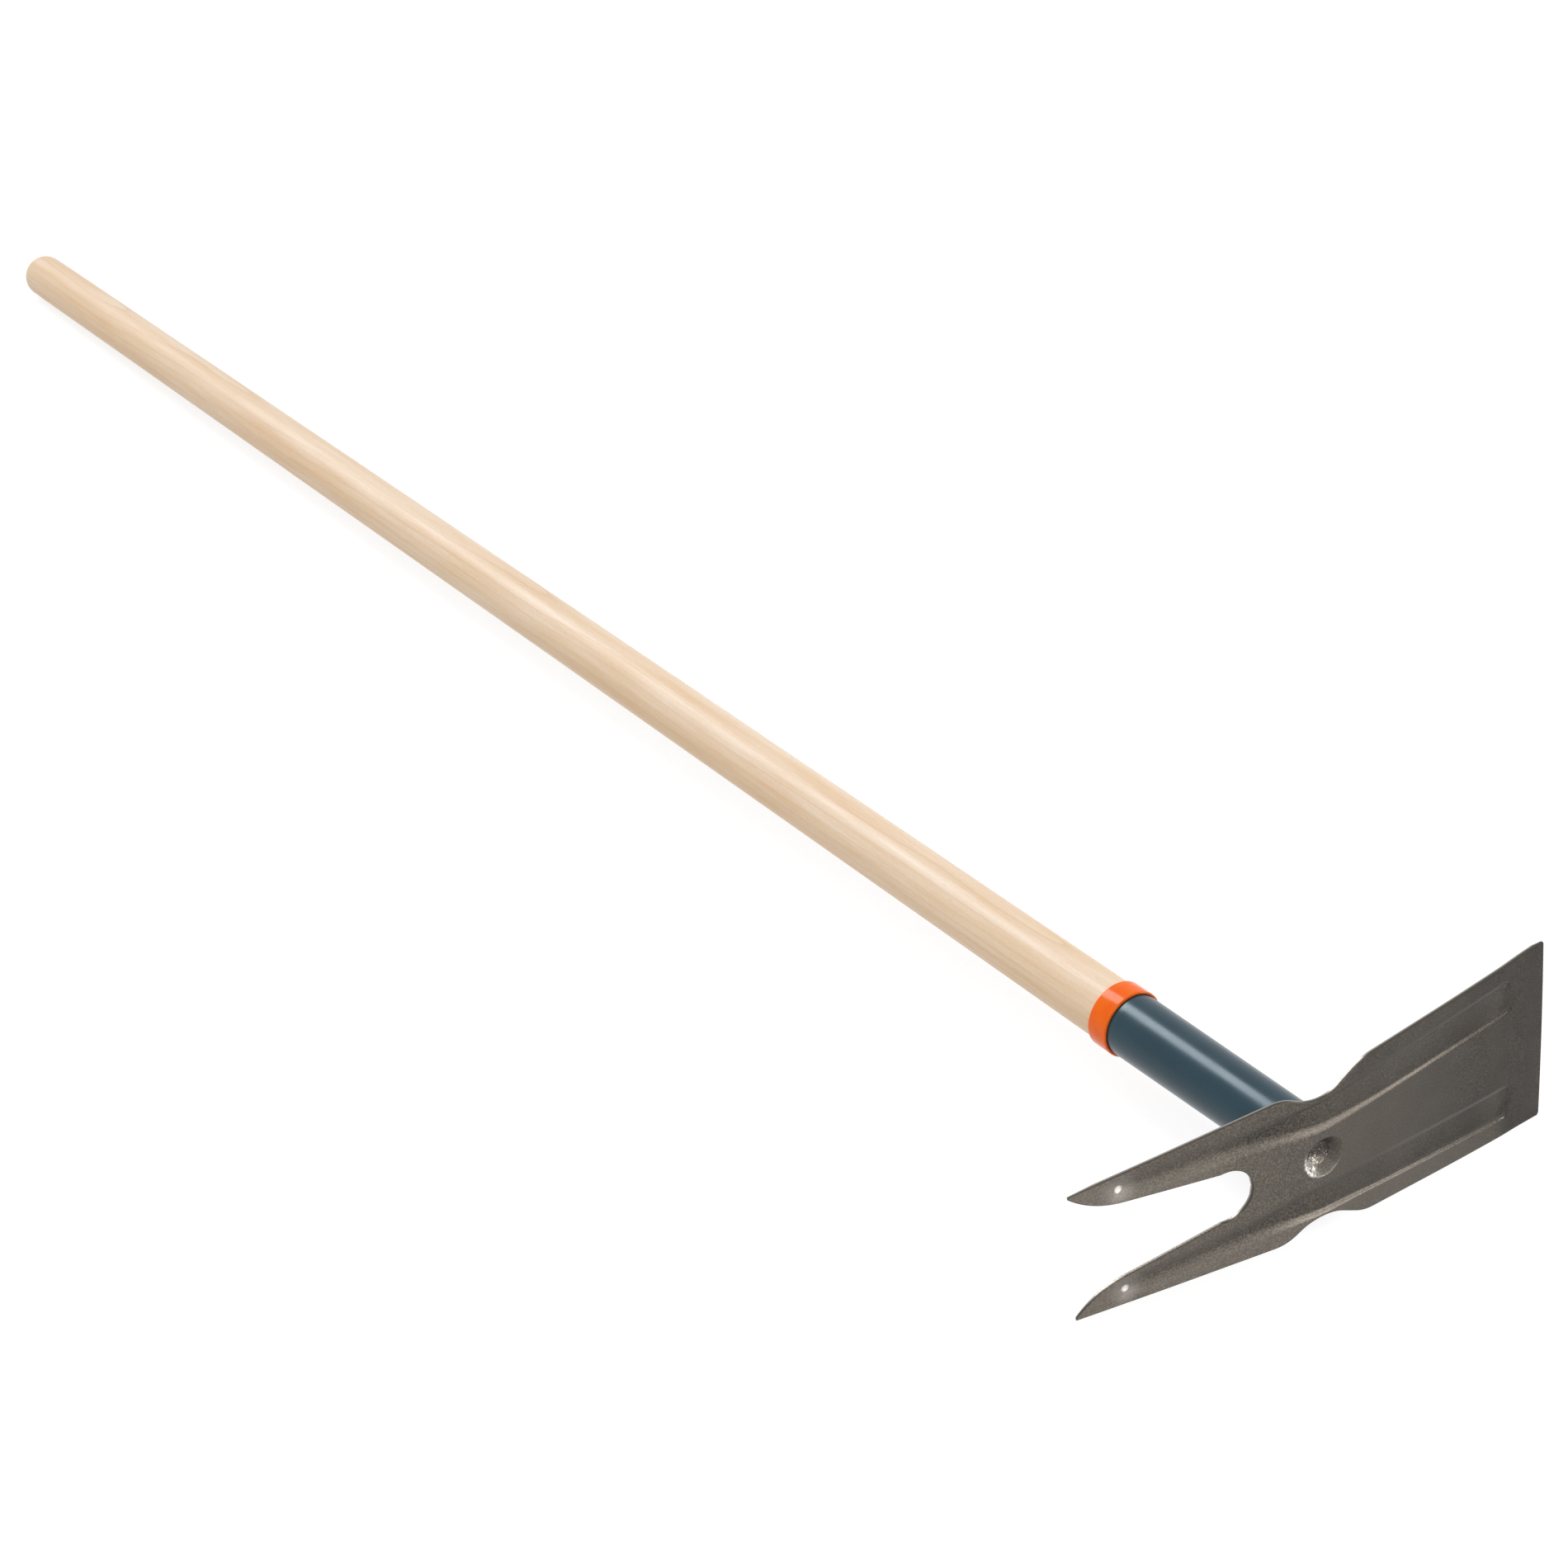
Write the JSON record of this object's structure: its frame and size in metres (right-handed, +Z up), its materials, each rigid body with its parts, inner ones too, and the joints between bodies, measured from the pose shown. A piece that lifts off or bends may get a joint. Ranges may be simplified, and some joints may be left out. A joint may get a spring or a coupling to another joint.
{
  "type": "two-prong hoe",
  "caption": "Garden hoe with a flat hoe blade on one side of its stamped steel head, a two-tined fork on the other, and a long straight wooden handle.",
  "frame": {"origin": "On the ground, under the middle of the bounding box of the hoe as it lies on its side", "axes": "+Z up. The handle runs along +Y, away from the head, within about 1 degree. The head stands on one long edge, with the hoe blade towards +X and the two tines towards -X."},
  "size_m": [0.2556, 1.3824, 0.0961],
  "materials": {
    "bare_steel": "satin, dark grey-brown rolled steel under clear lacquer",
    "forged_steel": "satin, hammered where it is peened",
    "blue_grey_paint": "semi-gloss dark blue-grey paint",
    "orange_plastic": "semi-gloss orange",
    "lacquered_wood": "satin clear lacquer over pale, fine-grained hardwood"
  },
  "bodies": {
    "root": {"head_plate": "bare_steel", "tang": "forged_steel", "ferrule": "blue_grey_paint", "collar": "orange_plastic", "handle": "lacquered_wood"}
  },
  "joints": []
}
